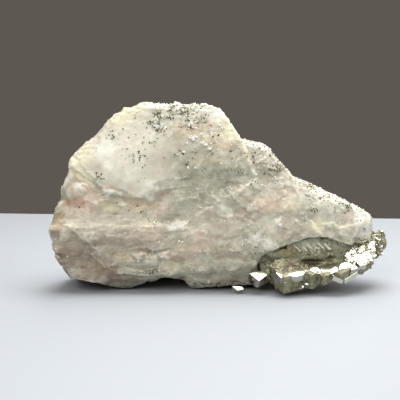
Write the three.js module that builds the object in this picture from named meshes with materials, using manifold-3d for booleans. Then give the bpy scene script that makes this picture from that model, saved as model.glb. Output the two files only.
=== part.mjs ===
// Barite with pyrite: a hand specimen of milky barite, thick plates grown into one another, with
// brassy pyrite crystals along its lower right edge.
// Millimetres, +Z up, X along the length, the front towards -Y. The origin is under the middle of
// the specimen, on the surface that it stands on.

import * as THREE from "three";
import { ConvexGeometry } from "three/addons/geometries/ConvexGeometry.js";
import { mergeVertices } from "three/addons/utils/BufferGeometryUtils.js";
import Module from "manifold-3d";

const wasm = await Module();
wasm.setup();

// Driving dimensions
const LENGTH = 110; // over the pyrite at the right
const HEIGHT = 60;
const DEPTH = 49;
const SHAKE = 0.7; // how far the corners of a broken plate stray
const CROWN = 1.1; // how far the middle of a plate's front stands out from its edge
const CROWN_DRAW = 0.5; // of the way from the edge to the middle, where the crown's ring lies
const BACK_CHIP = 3; // depth of the broken edge at a plate's back
const BACK_DRAW = 4; // how far a plate's back is drawn in
const GAP = 0.3; // between the barite and each pyrite crystal
const WELD = 1e-4; // corners closer than this are one corner

// The outline of the barite as seen from the front, which no cleavage block passes.
const OUTLINE = [
  [-49, 0], [-51.2, 5], [-53, 9.5], [-53.8, 14], [-55, 19], [-53.6, 22.6], [-51, 28.6],
  [-49.8, 33], [-47, 41.4], [-41.8, 48], [-34.6, 53.6], [-29, 57.8], [-21.4, 59.4], [-3, 58.8],
  [1.4, 56.4], [8, 47], [15.5, 45.4], [24.4, 35], [30.8, 32.8], [37.6, 29.2], [46.6, 25],
  [49.8, 22.8], [50.4, 18], [45, 8], [34, 0],
];

// The plan of the specimen, [x, y], at the ground, and how much smaller it is at the top. Nothing of
// the barite passes the slanting room between the two.
const PLAN = [
  [-58.4, -14], [-56, -4], [-50, 7], [-42, 15], [-30, 21], [-14, 25.6], [3, 24.6], [18, 20.6],
  [33, 17.5], [46, 12], [53, 4], [55, -5], [48, -18], [30, -28], [-46, -28], [-57, -20],
];
const PLAN_TOP = 0.8; // of the plan at the ground
const STEP_ROOM = 1.035; // of the plan, for the cleavage blocks
const PLAN_CENTRE = [-8, -6]; // towards which it shrinks

// The broken plates of the mass. Corners are [x, z] as seen from the front. front and back are y
// at the middle of the plate, lean and slew say how the front's y grows with z and with x,
// backLean how the back's y grows with z, and chip is the width of the broken edge at the front.
const PLATES = [
  {
    name: "core",
    corners: [
      [-49, 5], [-52, 18], [-48, 32], [-38, 45], [-10, 50], [8, 43], [24, 34],
      [44, 23], [45, 14], [34, 7], [10, 3.5], [-20, 3.5], [-42, 2],
    ],
    front: -12, back: 19, lean: 0.14, slew: 0.02, backLean: -0.3, chip: 4,
  },
  {
    name: "dome",
    corners: [
      [-49.8, 33], [-48.2, 37.8], [-46.8, 41.6], [-44, 44.9], [-38, 51.2], [-33.1, 55.6],
      [-25.1, 58.4], [-11.8, 58.9], [-2.9, 58.5], [1.4, 56.4], [4.4, 52], [8, 46], [11.5, 38],
      [2, 33.5], [-8, 32], [-17, 30.5], [-25, 28.5], [-36, 31],
    ],
    front: -8.5, back: 10, lean: 0.36, slew: 0.03, backLean: -0.35, chip: 1.4,
  },
  {
    name: "second",
    corners: [
      [2, 49], [8, 47], [12, 46.3], [15.5, 45.3], [17, 42.4], [20.4, 39.6], [24.4, 34.8],
      [32, 24], [28, 12], [4, 12], [-4, 40],
    ],
    front: -9.2, back: 15, lean: 0.34, slew: 0.08, backLean: -0.4, chip: 1,
  },
  {
    name: "third",
    corners: [
      [20, 37], [27.4, 34], [30.7, 32.6], [33.4, 30.3], [37.5, 29], [42.1, 26.2],
      [46.6, 24.8], [49.8, 22.8], [50.2, 19], [48, 14], [36, 15], [16, 18],
    ],
    front: -7.6, back: 12, lean: 0.5, slew: 0.1, backLean: -0.3, chip: 0.9,
  },
  {
    name: "left shoulder",
    corners: [[-52.5, 22], [-50.5, 33], [-45, 37], [-36, 34], [-30, 29], [-33, 22]],
    front: -12.6, back: 6, lean: 0.2, slew: -0.06, backLean: 0, chip: 2.4,
  },
  {
    name: "pink layer",
    corners: [[-55, 19], [-52, 27], [-40, 28], [-24, 26], [-8, 24], [-2, 18], [-30, 16], [-52, 15]],
    front: -14.6, back: 4, lean: 0.3, slew: 0.02, backLean: 0, chip: 1.8,
  },
  {
    name: "grey layer",
    corners: [[-48, 19.5], [-44, 22], [-26, 22.5], [-6, 21], [2, 15], [-4, 9], [-32, 8.2], [-37, 11]],
    front: -16.8, back: 0, lean: 0.1, slew: 0.04, backLean: 0, chip: 0.8,
  },
  {
    name: "lower layer",
    corners: [[-53, 14], [-40, 15.5], [-10, 14], [0, 10], [-3, 5], [-20, 4.5], [-38, 4], [-48, 7]],
    front: -15.8, back: 2, lean: -0.3, slew: 0, backLean: 0, chip: 1.8,
  },
  {
    name: "left face",
    corners: [[-54, 12], [-55, 20], [-48, 21], [-42, 14], [-38, 6], [-44, 3], [-50, 4]],
    front: -12, back: 10, lean: -0.05, slew: -0.45, backLean: 0.1, chip: 1.4,
  },
  {
    name: "foot",
    corners: [
      [-49.5, 2], [-50.5, 8], [-40, 11], [-28, 9], [-21, 5], [-25, 0.5], [-31, -1], [-40, -0.5],
    ],
    front: -13, back: 14, lean: -0.7, slew: 0, backLean: 0.2, chip: 1.5,
  },
  {
    name: "middle",
    corners: [[-20, 22], [-13, 32], [0, 36], [11, 33], [16, 20], [12, 8], [-6, 6], [-14, 10]],
    front: -14.4, back: 0, lean: 0.22, slew: 0.02, backLean: 0, chip: 1.6,
  },
  {
    name: "keel",
    corners: [[-13, 5], [-9, 0.3], [-4, -1], [4, -1], [13, -1], [18, 6], [12, 12], [-8, 12]],
    front: -12.4, back: 16, lean: -0.45, slew: 0, backLean: 0.2, chip: 1.5,
  },
  {
    name: "shoulder",
    corners: [[4, 32], [14, 38], [26, 32], [37, 26], [44, 19], [42, 13], [24, 9], [8, 9]],
    front: -12.6, back: 4, lean: 0.32, slew: 0.06, backLean: 0, chip: 1.2,
  },
  {
    name: "heel",
    corners: [[-36, 2], [-34, -1], [-8, -1], [16, 0], [24, 4], [22, 18], [-10, 26], [-38, 20]],
    front: 4, back: 22.5, lean: 0, slew: 0, backLean: -0.2, chip: 2,
  },
  {
    name: "back plate",
    corners: [[-44, 10], [-42, 30], [-28, 38], [-4, 36], [6, 22], [0, 8], [-20, 4]],
    front: 4, back: 20, lean: 0, slew: 0, backLean: -0.26, chip: 2,
  },
  {
    name: "back right plate",
    corners: [[2, 8], [0, 30], [14, 34], [30, 27], [38, 16], [28, 6]],
    front: 4, back: 19, lean: 0, slew: 0, backLean: -0.4, chip: 2,
  },
];

// Fields of cleavage blocks that stand out of the plates by up to relief. The field is a rectangle
// seen from the front, with y at its middle and its growth with x and z. length and width are the
// smallest and largest block, turn is the run of the cleavage in degrees, and side is -1 for the
// front of the specimen and 1 for its back.
const BLOCK_FIELDS = [
  {
    name: "layered face", x: [-46, -2], z: [7, 21], y: -16.9, lean: -0.04, slew: 0.03,
    length: [9, 20], width: [1.4, 2.8], turn: -3, relief: 1.2, count: 34, side: -1,
  },
  {
    name: "pink face", x: [-52, -10], z: [20, 28], y: -13.8, lean: 0.3, slew: 0.02,
    length: [6, 13], width: [2, 3.6], turn: 5, relief: 1, count: 16, side: -1,
  },
  {
    name: "centre", x: [-15, 13], z: [9, 32], y: -14.9, lean: 0.2, slew: 0.02,
    length: [5, 11], width: [3, 6.5], turn: 24, relief: 1.4, count: 30, side: -1,
  },
  {
    name: "right of centre", x: [12, 42], z: [18, 31], y: -12.2, lean: 0.34, slew: 0.08,
    length: [6, 11], width: [3, 6.5], turn: -32, relief: 1, count: 22, side: -1,
  },
  {
    name: "foot", x: [-46, -24], z: [3, 8], y: -13.6, lean: -0.5, slew: 0,
    length: [5, 9], width: [2.4, 4], turn: 10, relief: 0.8, count: 8, side: -1,
  },
  {
    name: "keel", x: [-10, 9], z: [3, 9], y: -12.8, lean: -0.4, slew: 0,
    length: [4, 8], width: [2, 3.4], turn: -8, relief: 1, count: 8, side: -1,
  },
  {
    name: "back left", x: [-38, 2], z: [6, 36], y: 18, lean: -0.26, slew: 0.05,
    length: [12, 24], width: [6, 13], turn: 12, relief: 2, count: 15, side: 1,
  },
  {
    name: "back right", x: [4, 34], z: [6, 30], y: 14.6, lean: -0.34, slew: -0.14,
    length: [10, 20], width: [5, 10], turn: -30, relief: 1.8, count: 11, side: 1,
  },
  {
    name: "back left flank", x: [-52, -30], z: [6, 36], y: 9.4, lean: -0.28, slew: 0.72,
    length: [6, 13], width: [4, 8], turn: -8, relief: 1.2, count: 12, side: 1,
  },
  {
    name: "back right flank", x: [24, 46], z: [5, 22], y: 12.4, lean: -0.3, slew: -0.34,
    length: [7, 13], width: [4, 8], turn: -24, relief: 1.5, count: 9, side: 1,
  },
  {
    name: "back top", x: [-40, 2], z: [38, 52], y: 10, lean: -0.42, slew: 0,
    length: [9, 16], width: [5, 8], turn: 20, relief: 1.2, count: 9, side: 1,
  },
];
const SHEAR = 12; // degrees by which the corners of a cleavage block miss the right angle
const TWIST = 5; // degrees by which a block strays from its field's run
const STRAY = 0.22; // of a block's width, how far its corners stray
const SPREAD = 1.14; // how much wider a block is at its root
const SLANT = 0.2; // how much its face may slope against the field
const ROOT = 5; // how deep a cleavage block goes into the plates

// Edges set with small tabular crystals: the line of [x, z], the y at its front, how far back the
// crystals reach, their size and their count.
const DRUSES = [
  {
    name: "dome top",
    line: [[-36, 52], [-31, 56], [-22, 58], [-12, 58.4], [-3, 57.8], [0.6, 56], [4, 51.5]],
    front: -2.6, depth: 6, size: [1.6, 3.4], count: 36,
  },
  {
    name: "dome left",
    line: [[-49, 35], [-47.6, 39.6], [-43.6, 45.4], [-38.6, 50.4]],
    front: -8, depth: 10, size: [1.4, 3], count: 14,
  },
  {
    name: "second top",
    line: [[6, 47], [12, 46], [15.2, 44.8], [17, 42], [21, 38.4], [24.4, 34.6]],
    front: -6, depth: 11, size: [1.4, 2.8], count: 26,
  },
  {
    name: "third top",
    line: [[27, 33.6], [31, 32], [34, 29.8], [38, 28.6], [42, 26], [46.4, 24.4], [49.2, 22.6]],
    front: -3, depth: 9, size: [1.4, 2.8], count: 26,
  },
  {
    name: "foot edge",
    line: [[-48, 3.4], [-41, 2.4], [-33, 2], [-26, 2.8], [-21, 5], [-14, 5.6], [-9, 3]],
    front: -11.5, depth: 5, size: [1.2, 2.4], count: 16,
  },
];

const TABLET = { radius: 0.5, foot: 0.55, height: 0.5, thin: 0.55 }; // of its size
const TABLET_TILT = 1.2; // the most that a tablet leans, in radians
const TABLET_SINK = 0.4; // how much lower a tablet at the far end of the depth sits
const TABLET_RISE = 0.08; // of its size, how far its middle stands over the edge
const LUMP_POINTS = 26;

// Rounded lumps of barite: centre and half size.
const LUMPS = [
  { at: [-44, -11.2, 31], size: [6, 3.4, 4.6] },
  { at: [-35.5, -11.6, 29.5], size: [5.5, 3, 3.4] },
  { at: [-50, -7, 22], size: [4.6, 6, 5] },
  { at: [-23, -12, 7.4], size: [7, 4.4, 4.4] },
  { at: [-15, -12.6, 8.4], size: [5, 3.4, 3.4] },
  { at: [-20, 0, 56.6], size: [9, 5, 2.8] },
  { at: [-5, 1, 56.4], size: [6, 5, 2.4] },
  { at: [46, -3, 20], size: [4.8, 4.6, 4.4] },
];

// Hollows cut out of the front: corners [x, z] and the y of their floor.
const HOLLOWS = [
  {
    name: "room in front of the pyrite",
    corners: [
      [12.6, -5], [12.8, 10], [15, 12.6], [22.5, 15.4], [27.8, 17.2], [33, 17.4],
      [38.4, 15.5], [42, 14.6], [54, 9], [54, -5],
    ],
    floor: -12.6,
  },
  {
    name: "recess left of the long edge",
    corners: [[-47.5, 16.5], [-45, 17.5], [-35.4, 8.4], [-38, 6.6], [-44, 9]],
    floor: -14.4,
  },
  {
    name: "arch between the feet",
    corners: [[-22, -5], [-19.4, 2.6], [-15.6, 3.8], [-12, 3], [-9.4, -5]],
    floor: 3,
  },
];

// Pyrite crystals by group: centre, edge lengths, and the tilt about x, the roll about y and the
// turn about z, in degrees.
const PYRITE = {
  pyrite_cluster: [
    { at: [22.1, -17.2, 5.7], edges: [10, 9, 6], tilt: 17, roll: 0, turn: 28 }, // corner crystal
    { at: [28.6, -16.4, 5.6], edges: [6.4, 6.6, 5.2], tilt: 15, roll: 0, turn: 42 },
    { at: [33.2, -15.6, 6.2], edges: [7.4, 8.4, 3.6], tilt: 14, roll: -4, turn: 30 },
    { at: [38, -14.9, 7.1], edges: [9.2, 8, 3.2], tilt: 13, roll: -2, turn: 45 },
    { at: [43.6, -11, 8.6], edges: [8, 8.6, 3.8], tilt: 12, roll: -14, turn: 50 },
    { at: [19.6, -8.8, 7.8], edges: [12.6, 9.6, 8], tilt: -8, roll: -16, turn: -4 }, // wall
    { at: [27.6, -8.4, 11], edges: [11, 10.6, 11.4], tilt: -5, roll: -12, turn: 3 },
    { at: [36.4, -7.6, 11.2], edges: [10.6, 10, 9.4], tilt: -6, roll: 14, turn: 8 },
    { at: [43, -6, 11.8], edges: [8.6, 10, 6.6], tilt: 0, roll: 2, turn: 24 },
    { at: [47, -5.6, 12], edges: [8, 8.6, 6.2], tilt: 8, roll: -24, turn: 30 }, // tip
    { at: [49.9, -2.6, 13.4], edges: [6, 8.4, 6], tilt: 4, roll: -40, turn: 16 },
    { at: [51.8, -0.4, 14.8], edges: [4, 5.6, 4.6], tilt: 0, roll: -22, turn: 38 },
  ],
  pyrite_cube: [{ at: [11.6, -16.4, 4.7], edges: [4.4, 4.4, 4.4], tilt: 20, roll: 0, turn: 42 }],
  pyrite_low_cube: [{ at: [5.4, -14.2, 1.6], edges: [3.6, 3.2, 2], tilt: 14, roll: 8, turn: 38 }],
};

// A number maker that gives the same series each time for the same seed.
function seeded(seed) {
  let state = seed >>> 0;
  return () => {
    state = (state + 0x6d2b79f5) >>> 0;
    let mixed = Math.imul(state ^ (state >>> 15), 1 | state);
    mixed = (mixed + Math.imul(mixed ^ (mixed >>> 7), 61 | mixed)) ^ mixed;
    return ((mixed ^ (mixed >>> 14)) >>> 0) / 4294967296;
  };
}

function solidOf(geometry) {
  const bare = new THREE.BufferGeometry();
  bare.setAttribute("position", geometry.getAttribute("position"));
  if (geometry.index) bare.setIndex(geometry.index);
  const merged = mergeVertices(bare, WELD);
  return new wasm.Manifold(
    new wasm.Mesh({
      numProp: 3,
      vertProperties: merged.attributes.position.array,
      triVerts: new Uint32Array(merged.index.array),
    }),
  );
}

function geometryOf(solid) {
  const { vertProperties, triVerts } = solid.getMesh();
  const geometry = new THREE.BufferGeometry();
  geometry.setAttribute("position", new THREE.BufferAttribute(vertProperties, 3));
  geometry.setIndex(new THREE.BufferAttribute(triVerts, 1));
  geometry.computeVertexNormals();
  return geometry;
}

function join(solids) {
  return solids.reduce((all, one) => all.add(one));
}

// One broken plate: the hull of rings of shaken corners, drawn in at the front and the back, with
// a smaller ring standing out in the middle of the front.
function plate({ corners, front, back, lean, slew, backLean, chip }, seed) {
  const random = seeded(seed);
  const shake = (most) => (random() - 0.5) * 2 * most;
  const middle = corners
    .reduce((sum, [x, z]) => sum.add(new THREE.Vector2(x, z)), new THREE.Vector2())
    .divideScalar(corners.length);
  const ring = (draw, depth) =>
    corners.map(([x, z]) => {
      const out = new THREE.Vector2(x, z).sub(middle);
      out.setLength(out.length() - draw(out.length()));
      const frontY = front + lean * out.y + slew * out.x;
      const y = depth(frontY, back + backLean * out.y);
      return new THREE.Vector3(
        middle.x + out.x + shake(SHAKE * 0.5),
        y + shake(SHAKE),
        middle.y + out.y + shake(SHAKE * 0.5),
      );
    });
  const points = [
    ...ring((length) => length * CROWN_DRAW, (frontY) => frontY - CROWN),
    ...ring(() => chip * (0.4 + random()), (frontY) => frontY),
    ...ring(() => 0, (frontY) => frontY + chip * (0.6 + random())),
    ...ring(() => 0, (frontY, backY) => (frontY + backY) / 2),
    ...ring(() => BACK_DRAW / 4, (frontY, backY) => backY - BACK_CHIP),
    ...ring(() => BACK_DRAW, (frontY, backY) => backY),
  ];
  return solidOf(new ConvexGeometry(points));
}

// A cleavage block: the hull of two slightly skewed parallelograms, one at the front of the field
// and one below its surface.
function blocks({ x, z, y, lean, slew, length, width, turn, relief, count, side }, seed) {
  const random = seeded(seed);
  const between = ([low, high]) => low + (high - low) * random();
  const middle = new THREE.Vector2((x[0] + x[1]) / 2, (z[0] + z[1]) / 2);
  return Array.from({ length: count }, () => {
    const centre = new THREE.Vector2(between(x), between(z));
    const half = [between(length) / 2, between(width) / 2];
    const run = THREE.MathUtils.degToRad(turn + (random() - 0.5) * 2 * TWIST);
    const rise = run + THREE.MathUtils.degToRad(90 - SHEAR);
    const height = relief * random();
    const tip = new THREE.Vector2(random() - 0.5, random() - 0.5).multiplyScalar(SLANT);
    const points = [];
    for (const [along, across] of [[-1, -1], [1, -1], [1, 1], [-1, 1]]) {
      const arm = new THREE.Vector2(
        along * half[0] * Math.cos(run) + across * half[1] * Math.cos(rise),
        along * half[0] * Math.sin(run) + across * half[1] * Math.sin(rise),
      );
      arm.x += (random() - 0.5) * 2 * STRAY * half[1];
      arm.y += (random() - 0.5) * 2 * STRAY * half[1];
      const corner = centre.clone().add(arm);
      const surface = y + slew * (corner.x - middle.x) + lean * (corner.y - middle.y);
      const face = surface + side * height + tip.dot(arm);
      const root = centre.clone().addScaledVector(arm, SPREAD);
      points.push(new THREE.Vector3(corner.x, face, corner.y));
      points.push(new THREE.Vector3(root.x, surface - side * ROOT, root.y));
    }
    return solidOf(new ConvexGeometry(points));
  });
}

// Room inside the outline, from far in front of the specimen to far behind it.
function outlineRoom() {
  const shape = new THREE.Shape(OUTLINE.map((point) => new THREE.Vector2(...point)));
  const room = new THREE.ExtrudeGeometry(shape, { depth: 4 * DEPTH, bevelEnabled: false });
  room.rotateX(Math.PI / 2);
  room.translate(0, 2 * DEPTH, 0);
  return solidOf(room);
}

// Room over the plan at a scale, drawn in towards the top.
function planRoom(scale) {
  const centre = new THREE.Vector2(...PLAN_CENTRE);
  const points = PLAN.flatMap((corner) => {
    const arm = new THREE.Vector2(...corner).sub(centre).multiplyScalar(scale);
    const low = centre.clone().add(arm);
    const high = centre.clone().addScaledVector(arm, PLAN_TOP);
    return [new THREE.Vector3(low.x, low.y, -1), new THREE.Vector3(high.x, high.y, HEIGHT + 2)];
  });
  return solidOf(new ConvexGeometry(points));
}

// Small tabular crystals strewn along an edge, each a six-cornered tablet.
function druse({ line, front, depth, size, count }, seed) {
  const random = seeded(seed);
  const path = new THREE.CatmullRomCurve3(line.map(([x, z]) => new THREE.Vector3(x, 0, z)));
  return Array.from({ length: count }, () => {
    const at = path.getPoint(random());
    const back = random();
    const large = size[0] + (size[1] - size[0]) * random() ** 2;
    const sides = [TABLET.radius, TABLET.foot, TABLET.height].map((share) => share * large);
    const tablet = new THREE.CylinderGeometry(...sides, 6);
    tablet.scale(1, 1, TABLET.thin * (1 + 0.5 * random()));
    tablet.rotateY(random() * Math.PI);
    tablet.rotateX((random() - 0.5) * 2 * TABLET_TILT);
    tablet.rotateZ((random() - 0.5) * 2 * TABLET_TILT);
    const rise = large * TABLET_RISE - back * TABLET_SINK;
    tablet.translate(at.x, front + back * depth, at.z + rise);
    return solidOf(tablet);
  });
}

// A lump: the hull of points strewn over an ellipsoid.
function lump({ at, size }, seed) {
  const random = seeded(seed);
  const points = Array.from({ length: LUMP_POINTS }, () => {
    const point = new THREE.Vector3(random() - 0.5, random() - 0.5, random() - 0.5).normalize();
    return point.multiply(new THREE.Vector3(...size)).add(new THREE.Vector3(...at));
  });
  return solidOf(new ConvexGeometry(points));
}

// Room for a hollow, from far in front of the specimen to the hollow's floor.
function hollow({ corners, floor }) {
  const points = corners.flatMap(([x, z]) => [
    new THREE.Vector3(x, -2 * DEPTH, z),
    new THREE.Vector3(x, floor, z),
  ]);
  return solidOf(new ConvexGeometry(points));
}

// A pyrite cube, with room of swell on each face.
function cube({ at, edges, tilt, roll, turn }, swell = 0) {
  const box = new THREE.BoxGeometry(...edges.map((edge) => edge + 2 * swell));
  const angles = [tilt, roll, turn].map(THREE.MathUtils.degToRad);
  const place = new THREE.Matrix4().makeRotationFromEuler(new THREE.Euler(...angles, "XYZ"));
  return solidOf(box.applyMatrix4(place.setPosition(...at)));
}

const floor = new THREE.BoxGeometry(2 * LENGTH, 2 * DEPTH, HEIGHT);
floor.translate(0, 0, -HEIGHT / 2);
const belowGround = solidOf(floor);

const plates = join([
  ...PLATES.map((one, i) => plate(one, 11 + i)),
  ...LUMPS.map((one, i) => lump(one, 101 + i)),
]).intersect(planRoom(1));
const steps = join(BLOCK_FIELDS.flatMap((one, i) => blocks(one, 201 + i)))
  .intersect(outlineRoom())
  .intersect(planRoom(STEP_ROOM));
const crystals = Object.values(PYRITE).flat();
const barite = plates
  .add(steps)
  .add(join(DRUSES.flatMap((one, i) => druse(one, 301 + i))))
  .subtract(join(HOLLOWS.map(hollow)))
  .subtract(join(crystals.map((one) => cube(one, GAP))))
  .subtract(belowGround);

const specimen = new THREE.Group();

function addMesh(name, solid, material) {
  const mesh = new THREE.Mesh(geometryOf(solid), material);
  mesh.name = name;
  specimen.add(mesh);
}

addMesh(
  "barite",
  barite,
  new THREE.MeshStandardMaterial({ color: 0xd8d2c2, roughness: 0.45, metalness: 0 }),
);
for (const [name, group] of Object.entries(PYRITE)) {
  addMesh(
    name,
    join(group.map((one) => cube(one))).subtract(belowGround),
    new THREE.MeshStandardMaterial({ color: 0x9c9158, roughness: 0.25, metalness: 1 }),
  );
}

// Brings the specimen to its driving dimensions, with the origin under its middle.
const bounds = new THREE.Box3().setFromObject(specimen, true);
const middle = bounds.getCenter(new THREE.Vector3());
const wanted = new THREE.Vector3(LENGTH, DEPTH, HEIGHT).divide(bounds.getSize(new THREE.Vector3()));
for (const mesh of specimen.children) {
  mesh.geometry.translate(-middle.x, -middle.y, 0);
  mesh.geometry.scale(wanted.x, wanted.y, wanted.z);
}

export default specimen;
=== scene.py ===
import bmesh
import bpy
import math
import numpy as np
from mathutils import Euler, Matrix, Vector, noise
from mathutils.bvhtree import BVHTree


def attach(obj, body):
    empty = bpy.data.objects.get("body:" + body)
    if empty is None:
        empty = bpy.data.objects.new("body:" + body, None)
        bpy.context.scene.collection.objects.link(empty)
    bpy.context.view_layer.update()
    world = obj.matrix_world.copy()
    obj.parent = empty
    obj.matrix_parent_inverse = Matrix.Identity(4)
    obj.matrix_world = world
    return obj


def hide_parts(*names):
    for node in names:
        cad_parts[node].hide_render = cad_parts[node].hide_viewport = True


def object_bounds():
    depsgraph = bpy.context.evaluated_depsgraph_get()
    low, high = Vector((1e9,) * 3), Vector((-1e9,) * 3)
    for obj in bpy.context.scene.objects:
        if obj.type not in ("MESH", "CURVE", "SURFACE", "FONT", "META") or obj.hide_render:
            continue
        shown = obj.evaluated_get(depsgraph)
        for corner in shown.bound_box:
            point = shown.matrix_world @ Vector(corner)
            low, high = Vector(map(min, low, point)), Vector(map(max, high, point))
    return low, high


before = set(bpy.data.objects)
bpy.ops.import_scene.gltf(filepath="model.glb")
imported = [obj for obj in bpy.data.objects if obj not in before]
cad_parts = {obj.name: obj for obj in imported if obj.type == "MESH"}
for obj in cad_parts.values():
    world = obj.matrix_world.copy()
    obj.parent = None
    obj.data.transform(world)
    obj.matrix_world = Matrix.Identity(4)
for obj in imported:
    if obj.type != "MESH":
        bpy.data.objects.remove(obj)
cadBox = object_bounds()
mm = 0.001
boxMargin = 0.02  # mm; nothing comes nearer to the sides of the solids' box
boxLow = np.array(cadBox[0]) / mm + boxMargin
boxHigh = np.array(cadBox[1]) / mm - boxMargin
fullTurn = 6.28
halfPicture = 200  # pixels in the photo
pixelsPerMm = 3.1  # near enough, all over the front


def placed(name, data):
    made = bpy.data.objects.new(name, data)
    bpy.context.scene.collection.objects.link(made)
    return made


# camera and lamps come first, because places on the front are read off the photo in its pixels

studio = {
    "aim": (-6.1, 0.0, 27.5),
    "distance": 282.4,
    "pitch": 6.0,
    "halfWidth": 0.23087,  # of the picture, at a distance of one
    "tableBack": (308.0, 49.0),  # left and right end of the back edge
    "tableReach": 1.2,  # to the sides and the front, in metres
    "wall": (0.112, 0.096, 0.084),
}
lamps = {
    "overhead": {"at": (0.03, 0.04, 0.42), "size": (0.40, 0.44), "watts": 2.9, "tint": (1.0, 0.99, 0.96)},
    "window": {"at": (-0.20, -0.50, 0.34), "size": (0.32, 0.28), "watts": 1.75, "tint": (1.0, 0.98, 0.93)},
    "side fill": {"at": (0.40, -0.15, 0.26), "size": (0.26, 0.26), "watts": 0.65, "tint": (1.0, 0.99, 0.97)},
    "back softbox": {"at": (0.10, 0.40, 0.36), "size": (0.46, 0.26), "watts": 0.7, "tint": (1.0, 1.0, 1.0)},
}

pitch = math.radians(studio["pitch"])
look = Vector((0, math.cos(pitch), -math.sin(pitch)))
cameraAt = Vector(studio["aim"]) * mm - look * studio["distance"] * mm
camera = placed("camera", bpy.data.cameras.new("camera"))
camera.data.sensor_width = 36
camera.data.lens = 18 / studio["halfWidth"]
camera.data.clip_start = 0.001
camera.location = cameraAt
camera.rotation_euler = look.to_track_quat("-Z", "Y").to_euler()
bpy.context.scene.camera = camera


def photoPlace(points):
    # column and row in the 400 pixel photo of points in mm
    offset = points - np.array(cameraAt) / mm
    depth = offset @ np.array(look)
    up = offset @ np.array((0, math.sin(pitch), math.cos(pitch)))
    zoom = halfPicture / studio["halfWidth"] / depth
    return halfPicture + offset[:, 0] * zoom, halfPicture - up * zoom


def photoRay(column, row):
    # start and direction of the line of sight through a photo place, in mm
    side = (column - halfPicture) / halfPicture * studio["halfWidth"]
    rise = (halfPicture - row) / halfPicture * studio["halfWidth"]
    up = Vector((0, math.sin(pitch), math.cos(pitch)))
    return cameraAt / mm, (look + Vector((side, 0, 0)) + up * rise).normalized()


# shader helpers

class Wire:
    # one shader socket, so that a material can be written as sums

    def __init__(self, tree, socket):
        self.tree = tree
        self.socket = socket

    def calc(self, operation, first, second):
        step = self.tree.nodes.new("ShaderNodeMath")
        step.operation = operation
        plug(self.tree, step.inputs[0], first)
        plug(self.tree, step.inputs[1], second)
        return Wire(self.tree, step.outputs[0])

    def __add__(self, other):
        return self.calc("ADD", self, other)

    def __sub__(self, other):
        return self.calc("SUBTRACT", self, other)

    def __rsub__(self, other):
        return self.calc("SUBTRACT", other, self)

    def __mul__(self, other):
        return self.calc("MULTIPLY", self, other)

    __radd__, __rmul__ = __add__, __mul__


def plug(tree, socket, value):
    if isinstance(value, Wire):
        tree.links.new(value.socket, socket)
    elif socket.type == "RGBA" and len(value) == 3:
        socket.default_value = (*value, 1)
    else:
        socket.default_value = value


class Paint:
    # a new material; add() makes any node in it

    def __init__(self, name):
        self.material = bpy.data.materials.new(name)
        self.material.use_nodes = True
        self.tree = self.material.node_tree
        self.tree.nodes.clear()
        self.place = self.add("TexCoord", output=3)  # on the object itself

    def add(self, kind, settings=None, output=0, **values):
        made = self.tree.nodes.new("ShaderNode" + kind)
        for key, value in (settings or {}).items():
            setattr(made, key, value)
        for key, value in values.items():
            wanted = key.replace("_", " ").lower()
            socket = next(s for s in made.inputs if s.name.lower() == wanted and s.enabled)
            plug(self.tree, socket, value)
        return Wire(self.tree, made.outputs[output])

    def texture(self, scale, detail, vector=None, **values):
        return self.add("TexNoise", vector=vector or self.place, scale=scale, detail=detail, **values)

    def mask(self, name):
        return self.add("Attribute", {"attribute_name": name}, output=2)

    def blend(self, share, low, high):
        made = self.tree.nodes.new("ShaderNodeMix")
        made.data_type = "RGBA"
        for index, value in ((0, share), (6, low), (7, high)):
            plug(self.tree, made.inputs[index], value)
        return Wire(self.tree, made.outputs[2])

    def vector(self, operation, first, second=None):
        made = self.tree.nodes.new("ShaderNodeVectorMath")
        made.operation = operation
        plug(self.tree, made.inputs[0], first)
        if second is not None:
            plug(self.tree, made.inputs[1], second)
        return Wire(self.tree, made.outputs[0])

    def between(self, value, low, high):
        return self.add("MapRange", {"interpolation_type": "SMOOTHSTEP"}, value=value,
                        from_min=low, from_max=high)

    def finish(self, **values):
        shader = self.add("BsdfPrincipled", **values)
        out = self.tree.nodes.new("ShaderNodeOutputMaterial")
        self.tree.links.new(shader.socket, out.inputs[0])
        return self.material


# mesh helpers

def smoothstep(low, high, value):
    share = np.clip((value - low) / (high - low), 0, 1)
    return share * share * (3 - 2 * share)


def cloud(points, scale, octaves, seed):
    # soft noise about 0 at each point
    shift = Vector((seed * 17.31, seed * 5.17, seed * 9.73))
    return np.array([noise.fractal(Vector(p) + shift, 1.0, 2.0, octaves) for p in points * scale])


def scatterHash(centres, seed):
    # three random numbers from 0 to 1 for each centre
    mixed = centres @ np.array([[12.99, 78.23, 37.72], [39.35, 11.13, 83.15], [73.16, 52.24, 9.15]])
    mixed = np.sin(mixed + seed * 1.7) * 43758.5453
    return mixed - np.floor(mixed)


def seedShift(seed):
    return Vector((seed * 7.31, seed * 3.17, seed * 1.73))


def facets(points, size, seed, stretch=(1, 1, 1)):
    # flat broken faces: the height of each, in mm, and a random number for each face
    scaled = points / size / np.array(stretch)
    shift = seedShift(seed)
    centres = np.array([noise.voronoi(Vector(p) + shift)[1][0] for p in scaled])
    chance = scatterHash(np.round(centres, 3), seed)
    lean = (scaled + np.array(shift) - centres) * (chance - 0.5)
    return lean.sum(1) * 2 * size, chance[:, 0]


def lumpy(points, size, seed):
    # rounded lumps side by side
    shift = seedShift(seed)
    near = np.array([noise.voronoi(Vector(p) + shift)[0][0] for p in points / size])
    return 1 - near * near * 1.6


def turned(points, degrees):
    # the points turned in the plane of the front
    angle = math.radians(degrees)
    along = points[:, 0] * math.cos(angle) + points[:, 2] * math.sin(angle)
    across = points[:, 2] * math.cos(angle) - points[:, 0] * math.sin(angle)
    return np.stack([along, points[:, 1], across], 1)


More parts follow.
